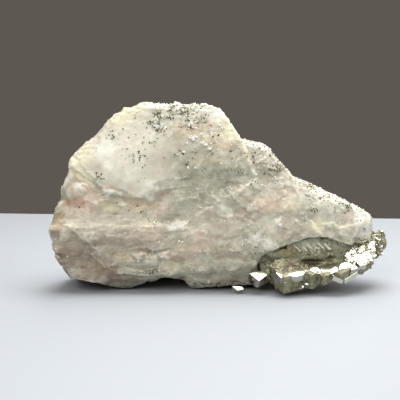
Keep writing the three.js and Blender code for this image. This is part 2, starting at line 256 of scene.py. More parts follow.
def readVectors(mesh, what):
    flat = np.empty(len(mesh.vertices) * 3, np.float64)
    mesh.vertices.foreach_get(what, flat)
    return flat.reshape(-1, 3)


def getPoints(mesh):
    return readVectors(mesh, "co") / mm


def setPoints(mesh, points):
    mesh.vertices.foreach_set("co", (points * mm).ravel())
    mesh.update()


def getNormals(mesh):
    return readVectors(mesh, "normal")


def modified(mesh, kind, **settings):
    # a new mesh, after one modifier
    worker = placed("worker", mesh)
    change = worker.modifiers.new("change", kind)
    for key, value in settings.items():
        setattr(change, key, value)
    changed = worker.evaluated_get(bpy.context.evaluated_depsgraph_get())
    result = bpy.data.meshes.new_from_object(changed)
    bpy.data.objects.remove(worker)
    return result


def evenMesh(node, voxel):
    return modified(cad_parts[node].data.copy(), "REMESH", mode="VOXEL", voxel_size=voxel * mm)


def countTriangles(mesh):
    return sum(len(p.vertices) - 2 for p in mesh.polygons)


def shadeSmooth(mesh):
    mesh.polygons.foreach_set("use_smooth", [True] * len(mesh.polygons))


def surfaceTree(mesh, points):
    mesh.calc_loop_triangles()
    return BVHTree.FromPolygons([Vector(p) for p in points], [t.vertices for t in mesh.loop_triangles])


def relaxed(points, mesh, share, rounds):
    # moves each point towards the middle of its neighbours; the share is a number or a column
    flat = np.empty(len(mesh.edges) * 2, np.int32)
    mesh.edges.foreach_get("vertices", flat)
    first, second = flat.reshape(-1, 2).T
    count = np.bincount(flat, minlength=len(points))[:, None]
    for _ in range(rounds):
        total = np.stack([np.bincount(first, points[second, axis], len(points))
                          + np.bincount(second, points[first, axis], len(points))
                          for axis in range(3)], 1)
        points = points + (total / count - points) * share
    return points


def setMask(mesh, name, values):
    layer = mesh.attributes.new(name, "FLOAT", "POINT")
    layer.data.foreach_set("value", np.clip(values, 0, 1).astype(np.float32))


def setRidge(mesh, points, normals, rounds, strength):
    # above 0.5 on edges that stand out, below it in hollows
    inward = relaxed(points, mesh, 0.5, rounds) - points
    setMask(mesh, "ridge", 0.5 - (inward * normals).sum(1) * strength)


def addPiece(name, mesh, material, replaced=()):
    piece = placed(name, mesh)
    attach(piece, "root")
    if replaced:
        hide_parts(*replaced)
    mesh.materials.clear()
    mesh.materials.append(material)


def joinBlocks(name, blocks):
    # one mesh from many (points, faces) pairs, points in mm
    points, faces, start = [], [], 0
    for blockPoints, blockFaces in blocks:
        points.append(blockPoints)
        faces.extend([[index + start for index in face] for face in blockFaces])
        start += len(blockPoints)
    mesh = bpy.data.meshes.new(name)
    mesh.from_pydata((np.concatenate(points) * mm).tolist(), [], faces)
    mesh.update()
    return mesh


cubeCorners = np.array([(x, y, z) for x in (-0.5, 0.5) for y in (-0.5, 0.5) for z in (-0.5, 0.5)])
cubeFaces = [(0, 1, 3, 2), (4, 6, 7, 5), (0, 4, 5, 1), (2, 3, 7, 6), (0, 2, 6, 4), (1, 5, 7, 3)]


def addInside(blocks, block):
    # leaves out a block that would stand outside the box
    if (block[0] >= boxLow).all() and (block[0] <= boxHigh).all():
        blocks.append(block)


def alongNormal(normal, spin):
    # a turn that stands z along the normal
    return Vector(normal).to_track_quat("Z", "Y").to_matrix() @ Matrix.Rotation(spin, 3, "Z")


# barite

barite = {
    "voxel": 0.4,
    "mostTriangles": 192000,
    "rounding": 2,
    "roundingShare": 0.5,
    "calmRounds": 130,
    "undulation": 0.4,
    "grain": 0.05,
    "ragged": 0.38,
    "softening": 1,  # rounds after the broken faces
    "edgeRipple": 1.8,  # of the lower edge, in pixels
    "drawnHeight": 0.8,  # share of the heights written for ledges and lumps
    "crustLumps": 0.3,
    "crustGrain": 0.08,
    "sunk": 0.15,  # makes room for the relief
}

# the lower edge in the photo; what hangs below it is lifted to it
underside = [
    (54, 249), (58, 257), (62, 264), (66, 274), (70, 277), (80, 279), (90, 280.5), (100, 283), (110, 285.5),
    (118, 288), (126, 288), (132, 287), (137, 285), (145, 282.5), (155, 281), (160, 278), (165, 276.5),
    (170, 278), (175, 280), (180, 279.5), (184, 281), (188, 284), (192, 287), (196, 288.5), (205, 286.5),
    (220, 286), (235, 285), (250, 284), (262, 285), (268, 300), (338, 300), (340, 244), (346, 246),
    (352, 246), (360, 242), (372, 240.5), (380, 240),
]
# the hollow at the lower left, made shallow: photo patch, where it begins, its new floor and the
# largest move, in mm
shallowHollow = {"patch": (82, 256, 30, 20, -45, 1.0), "from": -12, "floor": -17.6, "most": 3.2}

# ledges: a line of photo places, the height in mm, the fade and the width of the edge in
# pixels. The side to the left of the run stands up.
ledges = [
    ([(100, 185), (104, 189), (112, 187), (120, 189), (127, 193), (134, 196), (141, 198), (147, 198.5),
      (151, 197), (155, 193), (161, 190), (170, 189)], 0.5, 14, 1.5),
    ([(150, 187), (157, 182), (163, 180.5), (172, 179), (187, 178)], 0.4, 7, 1.2),
    ([(71, 169), (80, 174), (90, 179), (97, 184), (103, 189)], 0.8, 6, 1.8),
    ([(78, 158), (86, 165), (95, 174), (103, 182)], 0.4, 6, 2.5),
    ([(98, 205), (103, 201), (112, 203), (120, 206), (128, 207)], 0.4, 8, 1.6),
    ([(70, 229), (80, 236), (88, 243), (95, 250), (102, 259), (108, 266)], 0.8, 10, 1.4),
    ([(108, 267), (118, 264), (131, 262)], 0.4, 6, 1.6),
    ([(60, 213), (80, 211), (96, 213), (120, 213), (146, 213), (165, 219)], 0.15, 7, 2.6),
    ([(74, 229), (100, 226), (130, 230), (158, 227)], 0.08, 5, 3.0),
    ([(84, 240), (110, 239), (140, 241), (165, 238)], 0.25, 5, 1.6),
    ([(60, 243), (70, 249), (82, 252)], 0.3, 4, 1.4),
    ([(171, 231), (186, 230), (187.5, 222), (165, 221)], 0.45, 7, 1.2),
    ([(244, 217), (233, 212), (224, 204), (216, 198)], 0.5, 10, 1.8),
    ([(236, 200), (243, 207), (248, 213), (255, 210)], 0.45, 8, 1.4),
    ([(253, 168), (246, 154), (240, 138), (230, 120)], 0.6, 14, 1.8),
    ([(256, 212), (270, 213), (288, 212), (300, 208)], 0.25, 8, 2.6),
    ([(312, 204), (304, 191), (294, 178)], 0.4, 9, 1.6),
    ([(325, 237), (318, 229), (311, 221)], 0.6, 8, 1.4),
    ([(216, 253), (230, 251), (246, 254)], 0.4, 6, 1.4),
    ([(168, 259), (184, 260), (204, 262), (222, 263)], 0.2, 6, 2.0),
    ([(198, 168), (206, 160), (214, 152)], 0.25, 8, 1.6),
]
# grooves; a depth below 0 is a thin ridge
grooves = [
    ([(134, 252), (139, 249), (146, 251), (152, 254), (160, 251), (170, 250)], 0.6, 1.5),
    ([(92, 254), (100, 261), (107, 267.5)], -0.5, 1.8),
    ([(150, 195), (158, 187), (170, 183)], 0.12, 2.0),
    ([(241, 163), (239, 171), (240, 180), (236, 186)], 0.3, 2.0),
    ([(232, 124), (240, 138), (246, 152), (250, 162)], -0.4, 2.2),
    ([(82, 165), (90, 173), (98, 180)], -0.3, 1.6),
    ([(76, 176), (86, 181), (94, 188)], -0.25, 1.4),
    ([(72, 186), (82, 184), (90, 188)], -0.25, 1.2),
    ([(99, 196), (104, 191), (114, 190), (121, 195)], -0.3, 1.4),
    ([(102, 201), (110, 198), (118, 199), (125, 204)], -0.25, 1.2),
    ([(196, 197), (206, 203), (214, 204), (222, 209)], -0.2, 1.4),
    ([(262, 232), (270, 224), (280, 219)], -0.2, 1.6),
    ([(272, 186), (288, 184), (298, 190)], -0.2, 2.0),
    ([(131, 252), (133, 260), (140, 262)], 0.35, 1.2),
    ([(157, 256), (160, 263), (157, 268)], 0.3, 1.2),
    ([(100, 213), (106, 206), (118, 208)], 0.15, 1.6),
]
# lumps: photo place, half width and height in pixels, and how far they stand out in mm
bulges = [
    (79, 187, 9, 6, 0.6), (85, 192, 6, 4, 0.4), (109, 193, 10, 5, 0.8), (122, 203, 7, 5, 0.4),
    (72, 163, 5, 6, 0.6), (139, 256, 6, 4, 0.6), (151, 261, 8, 6, 0.6), (166, 256, 5, 6, 0.7),
    (142, 274, 9, 4, 0.4), (256, 240, 7, 8, 0.4), (267, 246, 8, 6, 0.4), (228, 214, 12, 8, 0.3),
    (365, 222, 8, 12, 0.5), (276, 196, 18, 11, 0.4), (180, 247, 6, 5, 0.3), (196, 282, 8, 5, 0.5),
    (202, 144, 5, 2.5, 0.4), (193, 138, 4, 2.5, 0.4), (190, 125, 4, 1.6, 0.3), (209, 149, 3, 2, 0.4),
]
# places where the outline goes in or out: photo place, radius in pixels, move in mm
nudges = [
    (44, 220, 18, 1.6, 0.0), (46, 238, 22, 1.3, 0.0), (50, 262, 20, 1.8, 0.0), (58, 200, 26, 1.1, 0.0),
    (68, 172, 18, 1.0, 0.0), (140, 101, 26, 0.0, 0.7), (92, 132, 20, 0.6, -0.5), (60, 280, 20, 2.2, 0.6),
]

# places where the broken blocks are worn smooth
calmPlaces = [
    (190, 192, 44, 34, 0, 1), (108, 222, 50, 20, 0, 1), (235, 226, 46, 26, 0, 0.9),
    (300, 206, 40, 22, -25, 0.9), (150, 238, 50, 14, 0, 0.9), (225, 160, 26, 24, 0, 0.9),
    (150, 150, 64, 34, 0, 0.9), (340, 216, 34, 16, -20, 0.8), (190, 256, 34, 12, 0, 0.8),
    (82, 256, 26, 18, -45, 1), (238, 264, 40, 14, 0, 1), (174, 266, 26, 12, 0, 1),
    (100, 222, 64, 12, 0, 1),
]
# places where the colour is plain
plainPlaces = [(130, 150, 60, 48, 10, 1.0), (200, 190, 44, 20, 0, 0.6)]

# colour patches: photo place, half width and height in pixels, turn, and strength
patches = {
    "milk": [
        (126, 142, 44, 34, 20, 1), (132, 174, 38, 18, -6, 0.9), (205, 110, 26, 10, -20, 0.7),
        (78, 165, 14, 12, 0, 0.8), (262, 150, 18, 9, -45, 0.6), (148, 192, 16, 7, 0, 0.9),
        (285, 196, 28, 15, -10, 0.5), (344, 208, 36, 16, -25, 1), (270, 226, 18, 8, 0, 0.5),
        (222, 212, 18, 8, -30, 0.45), (335, 225, 22, 12, -30, 0.7),
    ],
    "cream": [
        (126, 113, 24, 10, 25, 0.7), (224, 118, 8, 24, 45, 0.9), (241, 142, 4, 24, 27, 1),
        (86, 152, 10, 12, 40, 0.5), (80, 174, 16, 5, -35, 0.7), (74, 163, 5, 8, 0, 0.7),
        (112, 206, 16, 5, 0, 0.6), (182, 268, 24, 6, 0, 0.5), (317, 229, 9, 4, -45, 0.8),
        (230, 132, 10, 10, 0, 0.6), (150, 222, 16, 6, 0, 0.25), (290, 204, 12, 7, 0, 0.4),
    ],
    # white crystals, and painted highlights: the lit top and right rim of the dome, a sheen on its left,
    # glints on the lumps and the bright facet at the right end
    "white": [
        (164, 105, 14, 4, 0, 1), (183, 104, 10, 3, 0, 1), (204, 108, 10, 6, -30, 0.9),
        (218, 115, 8, 10, 45, 0.8), (105, 148, 14, 10, 30, 0.6), (106, 164, 7, 5, 0, 0.7),
        (150, 186, 16, 4, 25, 0.5), (224, 210, 10, 6, -40, 0.6), (79, 187, 5, 3, 0, 0.5),
        (108, 192, 6, 3, 0, 0.6), (365, 221, 10, 14, 0, 1), (178, 226, 10, 4, 0, 0.5),
        (255, 240, 7, 7, 0, 0.7), (268, 244, 9, 6, -30, 0.5), (163, 125, 3, 2, 0, 0.9),
        (342, 200, 30, 7, -30, 0.7), (146, 196, 12, 2.5, 0, 0.7), (264, 146, 8, 3, -20, 0.8),
        (104, 188, 3, 2, 0, 0.3), (275, 220, 3, 2, 0, 1), (280, 225, 3, 2, 0, 1),
    ],
    "green": [
        (208, 182, 34, 20, 0, 0.9), (182, 166, 12, 14, 0, 0.6), (238, 173, 5, 9, 0, 1),
        (206, 168, 9, 6, 0, 0.8), (305, 216, 12, 9, 0, 0.6), (182, 200, 14, 10, 0, 0.5),
        (272, 171, 9, 3, 0, 0.8), (200, 154, 20, 8, 0, 0.5), (160, 187, 9, 4, 20, 0.5),
        (232, 208, 8, 6, -40, 0.8), (252, 176, 16, 14, 0, 0.4), (332, 231, 10, 5, 0, 0.5),
    ],
    "pink": [
        (272, 203, 18, 8, 0, 0.9), (285, 192, 12, 8, 0, 0.6), (212, 122, 8, 7, 0, 0.8),
        (160, 210, 14, 9, 0, 0.6), (200, 240, 10, 12, 0, 0.8), (352, 216, 10, 12, 0, 0.5),
        (84, 210, 16, 6, 0, 0.6), (90, 192, 9, 9, 0, 0.5), (64, 246, 8, 12, -30, 0.6),
        (150, 232, 14, 10, 0, 0.5),
    ],
    # warm tan; the thin strips under the ledges at the dome's lower left are painted shadow
    "tan": [
        (135, 204, 16, 7, 0, 1), (82, 180, 14, 3, -25, 0.9), (112, 188, 10, 2.5, 0, 0.8),
        (190, 130, 16, 7, 0, 0.6), (96, 200, 14, 6, -10, 0.7), (178, 257, 18, 4, 0, 0.7),
        (222, 142, 16, 10, 0, 0.6), (205, 160, 16, 7, 0, 0.4), (66, 205, 8, 8, 0, 0.6),
        (150, 204, 10, 6, 0, 0.7), (120, 256, 14, 8, 0, 0.7), (186, 248, 14, 7, 0, 0.7),
        (82, 190, 14, 8, 0, 0.8), (240, 216, 20, 8, 0, 0.3),
    ],
    "taupe": [
        (112, 237, 34, 10, 0, 0.6), (120, 243, 34, 6, 0, 0.7), (148, 244, 18, 6, 0, 0.6),
        (165, 195, 8, 6, 0, 0.9), (76, 232, 9, 4, -40, 0.9), (230, 255, 18, 4, 0, 0.8),
        (285, 232, 12, 7, 0, 0.6), (68, 262, 12, 14, -35, 0.9), (222, 186, 8, 5, 0, 0.6),
        (224, 228, 10, 3, 0, 0.4), (246, 219, 12, 3, 0, 0.6), (140, 256, 9, 6, 0, 0.6),
        (234, 281, 22, 7, 0, 0.3), (250, 258, 9, 4, 0, 0.4), (112, 275, 24, 8, -10, 0.8),
        (205, 196, 16, 8, 0, 0.35), (262, 160, 18, 10, -40, 0.4), (214, 184, 30, 13, 0, 0.35),
        (182, 259, 22, 5, 0, 0.6), (120, 222, 44, 12, 0, 0.25),
    ],
    "orange": [(78, 202, 12, 6, 0, 1.0), (61, 224, 5, 9, 0, 0.8), (88, 204, 7, 4, 0, 0.5)],
    "ochre": [
        (55, 222, 8, 12, 0, 1), (86, 265, 7, 4, 0, 1), (98, 268, 22, 7, -15, 0.9),
        (120, 252, 10, 3, 0, 0.5), (112, 258, 12, 7, 0, 0.4),
    ],
    "brown": [
        (82, 245, 10, 4, -20, 1), (95, 252, 14, 2.6, -48, 1), (88, 256, 14, 9, 0, 0.95),
        (66, 258, 12, 18, -30, 0.75), (102, 279, 26, 5, -8, 0.7), (155, 252, 16, 1.6, 0, 0.7),
        (61, 229, 3, 3, 0, 0.4), (192, 128, 3, 2, 0, 0.8), (112, 267, 5, 3, 0, 0.6),
    ],
    "grit": [
        (149, 273, 13, 4, 0, 1), (130, 283, 12, 4, 0, 0.8), (220, 283, 30, 3, 0, 0.7),
        (243, 281, 14, 6, 0, 0.5), (184, 280, 14, 3, 0, 0.8), (180, 112, 8, 4, 0, 0.35),
        (66, 272, 4, 5, 0, 0.8),
    ],
}

# single white crystals and single dark specks that show in the photo
whiteChips = [
    (189, 125, 1.3), (193, 139, 1.5), (196, 137, 1.1), (202, 143, 1.3), (206, 145, 1.1), (210, 149, 1.2),
    (187, 143, 1), (184, 152, 1.1), (188, 168, 1.2), (195, 168, 1), (162, 125, 0.9), (155, 122, 1),
    (275, 220, 0.9), (280, 225, 1.1), (275, 245, 0.9), (179, 241, 1.1), (182, 242, 0.9), (78, 187, 1),
    (138, 260.5, 1), (159.5, 270, 0.8), (191, 275, 0.9), (253, 248, 0.8), (332, 223, 0.7), (70, 170, 1),
    (186, 224, 0.8), (186, 228, 0.7), (168, 222, 0.7), (165, 253, 0.9), (162, 257, 0.8), (126, 208, 0.7),
]
singleSpecks = [
    (79.5, 207), (137.5, 206), (141, 212), (143, 211), (129, 210.5), (96.5, 173), (99, 176.5), (104, 179),
    (186.5, 164.5), (183, 154), (191, 128), (213, 136.5), (219, 135), (214, 143.5), (212, 153.5),
    (230.5, 151), (247, 156.5), (255, 153), (253, 162), (254, 163), (264.5, 173.5), (251, 184), (123, 129),
    (136, 134.5), (144, 137.5), (128.5, 137.5), (114, 137), (153, 113), (232, 158), (179, 150), (204, 118),
]


def patchMask(column, row, spots):
    value = np.zeros(len(column))
    for midColumn, midRow, halfWidth, halfHeight, degrees, strength in spots:
        angle = math.radians(degrees)
        side, up = column - midColumn, midRow - row
        along = side * math.cos(angle) + up * math.sin(angle)
        across = up * math.cos(angle) - side * math.sin(angle)
        far = np.sqrt((along / halfWidth) ** 2 + (across / halfHeight) ** 2)
        value = np.maximum(value, strength * smoothstep(1.4, 0.4, far))
    return value


def lineDistance(column, row, line):
    # distance to the line in pixels, more than 0 on the left of its run
    nearest = np.full(len(column), 1e9)
    side = np.zeros(len(column))
    for (startColumn, startRow), (endColumn, endRow) in zip(line, line[1:]):
        runX, runY = endColumn - startColumn, startRow - endRow
        share = ((column - startColumn) * runX + (startRow - row) * runY) / (runX * runX + runY * runY)
        share = np.clip(share, 0, 1)
        offX, offY = column - startColumn - share * runX, startRow - row - share * runY
        far = np.hypot(offX, offY)
        side = np.where(far < nearest, runX * offY - runY * offX, side)
        nearest = np.minimum(far, nearest)
    return nearest * np.sign(side)


def ovalDistance(column, row, oval):
    # 1 on the edge of an upright oval, given by photo place, half width and half height
    midColumn, midRow, halfWidth, halfHeight = oval
    return np.hypot((column - midColumn) / halfWidth, (row - midRow) / halfHeight)


print("barite: even mesh")
rawMesh = evenMesh("barite", barite["voxel"])
points = getPoints(rawMesh)
print("  points", len(points))

column, row = photoPlace(points)
for midColumn, midRow, radius, moveX, moveZ in nudges:
    near = smoothstep(1, 0, np.hypot(column - midColumn, row - midRow) / radius)
    points += near[:, None] * np.array([moveX, 0, moveZ])

column, row = photoPlace(points)
edgeRow = np.interp(column, *zip(*underside)) + cloud(points, 0.7, 3, 71) * barite["edgeRipple"]
points[:, 2] += np.maximum(row - edgeRow, 0) / pixelsPerMm
inHollow = patchMask(column, row, [shallowHollow["patch"]]) * (points[:, 1] < shallowHollow["from"])
forward = np.clip(points[:, 1] - shallowHollow["floor"], 0, shallowHollow["most"])
points[:, 1] -= forward * smoothstep(0.0, 0.4, inHollow)

points = relaxed(points, rawMesh, barite["roundingShare"], barite["rounding"])
column, row = photoPlace(points)
calm = patchMask(column, row, calmPlaces) * smoothstep(12, 4, points[:, 1])
points = relaxed(points, rawMesh, 0.5 * calm[:, None], barite["calmRounds"])
setPoints(rawMesh, points)
normals = getNormals(rawMesh)

print("barite: relief")
column, row = photoPlace(points)
facing = smoothstep(8, 0, points[:, 1])
wideX, wideZ = cloud(points, 0.12, 3, 1) * 9, cloud(points, 0.12, 3, 2) * 7
smallX, smallZ = cloud(points, 0.5, 2, 3) * 2.4, cloud(points, 0.5, 2, 4) * 2.0
warpedColumn, warpedRow = column + wideX, row + wideZ
dome = (smoothstep(198, 184, warpedRow + 0.12 * (warpedColumn - 130))
        * smoothstep(246, 226, warpedColumn + 0.3 * (warpedRow - 130)) * facing)
layered = smoothstep(196, 208, warpedRow) * smoothstep(176, 150, warpedColumn)
rightSide = smoothstep(238, 256, warpedColumn + 0.3 * (warpedRow - 180))
middle = np.clip(1 - layered - rightSide - dome, 0, 1)
edgeOn = 0.45 + 0.55 * smoothstep(0.15, 0.6, np.abs(normals[:, 1]))  # keeps the outline calm
back = 1 - facing

relief = cloud(points, 0.09, 3, 5) * barite["undulation"]
bigFaces = facets(turned(points, 24), 6.5, 1, (1.5, 1, 0.8))[0]
smallFaces = facets(turned(points, 24), 2.6, 2, (1.4, 1, 0.8))[0]
leaves = facets(turned(points, -3), 2.4, 3, (3.6, 1.6, 0.5))[0]
slopes = facets(turned(points, -34), 3.4, 4, (1.8, 1, 0.7))[0]
chips = facets(points, 1.1, 5)[0]
relief += bigFaces * (0.07 * middle + 0.06 * rightSide + 0.015 * dome + 0.03 * layered + 0.05 * back)
relief += smallFaces * (0.05 * middle + 0.05 * rightSide + 0.006 * dome + 0.03 * layered + 0.03 * back)
relief += leaves * 0.06 * layered
relief += slopes * (0.07 * rightSide + 0.03 * middle)
relief += chips * (0.03 - 0.026 * dome)
relief *= edgeOn
standing = smoothstep(0.0, 1.4, points[:, 2])  # the resting face stays flat
points = points + normals * (relief * standing)[:, None]
points = relaxed(points, rawMesh, 0.5, barite["softening"])
setPoints(rawMesh, points)
normals = getNormals(rawMesh)

column, row = photoPlace(points)
front = smoothstep(0.0, -0.45, normals[:, 1])
relief = cloud(points, 1.3, 3, 8) * barite["grain"] * (1.2 - 0.9 * dome)
lowerLeft = smoothstep(180, 210, row) * smoothstep(90, 60, column)
relief += cloud(points, 0.9, 3, 19) * barite["ragged"] * (1 - front) * (1 - 0.5 * dome + lowerLeft)
for line, height, fade, edge in ledges:
    signed = lineDistance(column + smallX, row + smallZ, line)
    raised = barite["drawnHeight"] * height * smoothstep(-edge, edge, signed)
    relief += raised * np.exp(-np.maximum(signed, 0) / fade) * front
for line, depth, width in grooves:
    signed = lineDistance(column + smallX, row + smallZ, line)
    relief -= depth * smoothstep(width * 2, 0, np.abs(signed)) * front
for *oval, height in bulges:
    far = ovalDistance(column + smallX, row + smallZ, oval)
    relief += barite["drawnHeight"] * height * smoothstep(1.2, 0.2, far) * front

upward = smoothstep(0.15, 0.75, normals[:, 2])
crust = np.clip(upward + 0.7 * rightSide * smoothstep(0.1, 0.4, cloud(points, 0.2, 3, 9)), 0, 1)
relief += (lumpy(points, 1.5, 6) - 0.5) * barite["crustLumps"] * crust * smoothstep(230, 190, row)
relief += (lumpy(points, 0.8, 7) - 0.5) * barite["crustGrain"] * crust
relief -= barite["sunk"]
points = points + normals * (relief * standing)[:, None]
points = np.clip(points, boxLow, boxHigh)
setPoints(rawMesh, points)

triangles = countTriangles(rawMesh)
massMesh = modified(rawMesh, "DECIMATE", ratio=min(1, barite["mostTriangles"] / triangles))
points = getPoints(massMesh)
normals = getNormals(massMesh)
print("  triangles", triangles, "then", countTriangles(massMesh))

print("barite: colour masks")
column, row = photoPlace(points)
warpedColumn = column + cloud(points, 0.3, 4, 11) * 7
warpedRow = row + cloud(points, 0.3, 4, 12) * 4
facing = smoothstep(9, 1, points[:, 1])
for number, (name, spots) in enumerate(patches.items()):
    value = patchMask(warpedColumn, warpedRow, spots) * facing
    value += smoothstep(0.1, 0.5, cloud(points, 0.09, 4, 20 + number) + 0.06) * 0.7 * (1 - facing)
    setMask(massMesh, name, value)
setRidge(massMesh, points, normals, 8, 1.6)
# a random number for each broken face, for painted flashes of light
bigChance = facets(turned(points, 24), 3.0, 13, (1.4, 1, 0.8))[1]
smallChance = facets(turned(points, 10), 1.3, 14, (1.5, 1, 0.7))[1]
setMask(massMesh, "flash", 0.5 * bigChance + 0.5 * smallChance)
setMask(massMesh, "layers", smoothstep(200, 216, warpedRow) * smoothstep(262, 205, warpedColumn))
setMask(massMesh, "smooth", patchMask(column, row, plainPlaces) * facing)
shadeSmooth(massMesh)

# the colour of each kind of patch, its strength, and how much the broad pattern ripples it
tints = {
    "milk": ((0.67, 0.65, 0.54), 1.0, 0.3),
    "tan": ((0.60, 0.46, 0.30), 1.0, 0.5),
    "taupe": ((0.33, 0.26, 0.20), 1.0, 0.5),
    "pink": ((0.66, 0.49, 0.365), 1.0, 0.5),
    "green": ((0.235, 0.245, 0.17), 1.0, 0.5),
    "cream": ((0.71, 0.66, 0.42), 1.0, 0.5),
    "white": ((0.88, 0.87, 0.80), 1.0, 0.5),
    "orange": ((0.42, 0.20, 0.10), 1.0, 0.3),
    "ochre": ((0.30, 0.22, 0.07), 1.0, 0.3),
    "brown": ((0.15, 0.095, 0.045), 1.0, 0.4),
    "grit": ((0.20, 0.19, 0.13), 0.9, 0.9),
}


def bariteMaterial():
    paint = Paint("milky barite")
    along = paint.vector("MULTIPLY", paint.place, (0.22, 0.6, 1.0))
    fine = paint.texture(520, 6, roughness=0.62)
    broad = paint.texture(110, 5, roughness=0.55)
    wisp = paint.texture(230, 4, roughness=0.7, distortion=1.2)
    streak = paint.texture(560, 4, along, roughness=0.6, distortion=0.5)
    spots = paint.texture(1300, 3, roughness=0.5)
    glints = paint.add("TexVoronoi", output=1, vector=paint.place, scale=900)
    warp = paint.vector("MULTIPLY", paint.texture(300, 3, output=1), (1.4, 1.4, 1.4))
    bent = paint.vector("ADD", paint.vector("MULTIPLY", along, (180, 180, 180)), warp)
    cleavage = paint.add("TexVoronoi", {"feature": "DISTANCE_TO_EDGE"}, vector=bent, scale=1)
    plain = 1 - 0.65 * paint.mask("smooth")
    layers = paint.mask("layers")

    colour = paint.blend(wisp, (0.34, 0.32, 0.23), (0.51, 0.48, 0.36))
    for name, (tint, strength, ripple) in tints.items():
        share = paint.mask(name) * (1 - ripple + 2 * ripple * broad) * strength
        colour = paint.blend(paint.add("Clamp", value=share), colour, tint)
    dark = paint.between(streak, 0.50, 0.36) * layers
    light = paint.between(streak, 0.52, 0.66) * layers
    veins = paint.between(cleavage, 0.05, 0.0) * paint.between(broad, 0.42, 0.62)
    seams = paint.between(cleavage, 0.07, 0.0) * paint.between(broad, 0.52, 0.36)
    flash = paint.between(paint.mask("flash"), 0.2, 0.8)
    # painted highlight: lighter on edges that stand out
    edgeLightAndWear = paint.between(paint.mask("ridge"), 0.52, 0.8)
    # painted shade: darker in hollows
    sunk = paint.between(paint.mask("ridge"), 0.47, 0.15)
    flecks = paint.between(fine, 0.36, 0.62)
    # painted shade: darker still where the brown, taupe and ochre patches lie
    paintedShade = paint.mask("brown") * 0.35 + paint.mask("taupe") * 0.2 + paint.mask("ochre") * 0.25
    washes = [
        (dark * 0.42, (0.27, 0.20, 0.14)),
        (light * 0.28, (0.70, 0.62, 0.49)),
        (veins * 0.35, (0.86, 0.84, 0.76)),
        (seams * 0.3 * plain, (0.20, 0.17, 0.11)),
        # painted flashes: broken faces lighter or darker at random, as if light caught some of them
        (0.24 * (1 - flash) * plain, (0.24, 0.22, 0.16)),
        (0.20 * flash * plain, (0.80, 0.78, 0.68)),
        (edgeLightAndWear * 0.42, (0.88, 0.86, 0.77)),
        (sunk * 0.18, (0.26, 0.20, 0.13)),
        (0.13 * (1 - flecks) * plain, (0.24, 0.21, 0.15)),
        (0.15 * flecks * plain, (0.82, 0.80, 0.71)),
        (paintedShade, (0.22, 0.16, 0.11)),
    ]
    for share, tint in washes:
        colour = paint.blend(share, colour, tint)
    rough = 0.28 + 0.30 * broad + 0.2 * fine
    bump = paint.add("Bump", strength=0.22, distance=0.0003, height=(fine * 0.6 + spots * 0.4) * plain)
    sparkle = paint.vector("SUBTRACT", glints, (0.5, 0.5, 0.5))
    sparkle = paint.vector("MULTIPLY", sparkle, 0.15 * plain)
    normal = paint.vector("NORMALIZE", paint.vector("ADD", bump, sparkle))
    return paint.finish(
        base_color=colour, roughness=rough, normal=normal, ior=1.64,
        subsurface_weight=0.85, subsurface_radius=(1.0, 0.92, 0.72), subsurface_scale=0.0022,
    )


addPiece("barite_mass", massMesh, bariteMaterial(), ["barite"])
massTree = surfaceTree(massMesh, points)


def surfaceSpots(mesh, points, count, seed, wanted):
    # random places on a mesh, each as (place, normal), by area and by how much they are wanted
    corners = np.array([t.vertices for t in mesh.loop_triangles])
    a, b, c = points[corners[:, 0]], points[corners[:, 1]], points[corners[:, 2]]
    cross = np.cross(b - a, c - a)
    area = np.linalg.norm(cross, axis=1)
    normal = cross / np.maximum(area, 1e-9)[:, None]
    area = area * wanted((a + b + c) / 3, normal)
    dice = np.random.default_rng(seed)
    picked = dice.choice(len(area), count, p=area / area.sum())
    u, v = dice.random(count), dice.random(count)
    flip = u + v > 1
    u, v = np.where(flip, 1 - u, u), np.where(flip, 1 - v, v)
    place = a[picked] + (b - a)[picked] * u[:, None] + (c - a)[picked] * v[:, None]
    return list(zip(place, normal[picked]))


# small barite crystals along the upper edges and in the sugary patches

print("barite: small crystals")
crystals = {
    "count": 1300,
    "length": (0.3, 0.9),
    "width": (0.3, 0.7),
    "thickness": (0.12, 0.3),
    "sugary": [
        (186, 132, 22, 14, 0, 0.2), (335, 198, 34, 7, -25, 0.8), (364, 224, 8, 12, 0, 0.6),
        (258, 244, 14, 8, 0, 0.7), (172, 107, 26, 6, 0, 1), (266, 150, 16, 6, -40, 0.7),
        (200, 283, 12, 4, 0, 0.6), (160, 257, 10, 6, 0, 0.5), (122, 206, 8, 4, 0, 0.3),
    ],
}


def crystalShare(centres, normal):
    column, row = photoPlace(centres)
    rim = smoothstep(0.25, 0.8, normal[:, 2]) * smoothstep(10, 16, centres[:, 2])
    rim *= 0.12 + 0.88 * smoothstep(140, 160, column)
    patchy = smoothstep(-0.15, 0.35, cloud(centres, 0.16, 3, 41))
    front = patchMask(column, row, crystals["sugary"])
    return rim * (0.15 + patchy) + front * (normal[:, 1] < 0) * 0.6 + 0.008


def bladeBlock(place, normal, length, width, thickness, dice):
    # a flat crystal with its end cut to a point
    outline = [(-0.5, -0.5), (0.5, -0.5), (0.5, 0.2), (0.22, 0.5), (-0.22, 0.5), (-0.5, 0.2)]
    local = np.array([(x * width, side * thickness, z * length)
                      for side in (-0.5, 0.5) for x, z in outline])
    local[:, 2] += length * 0.1
    lean = (Vector(normal) + Vector(dice.uniform(-0.8, 0.8, 3))).normalized()
    turn = np.array(alongNormal(lean, dice.uniform(0, fullTurn)))
    count = len(outline)
    faces = [tuple(range(count)), tuple(range(2 * count - 1, count - 1, -1))]
    faces += [(i, i + count, (i + 1) % count + count, (i + 1) % count) for i in range(count)]
    return local @ turn.T + place, faces


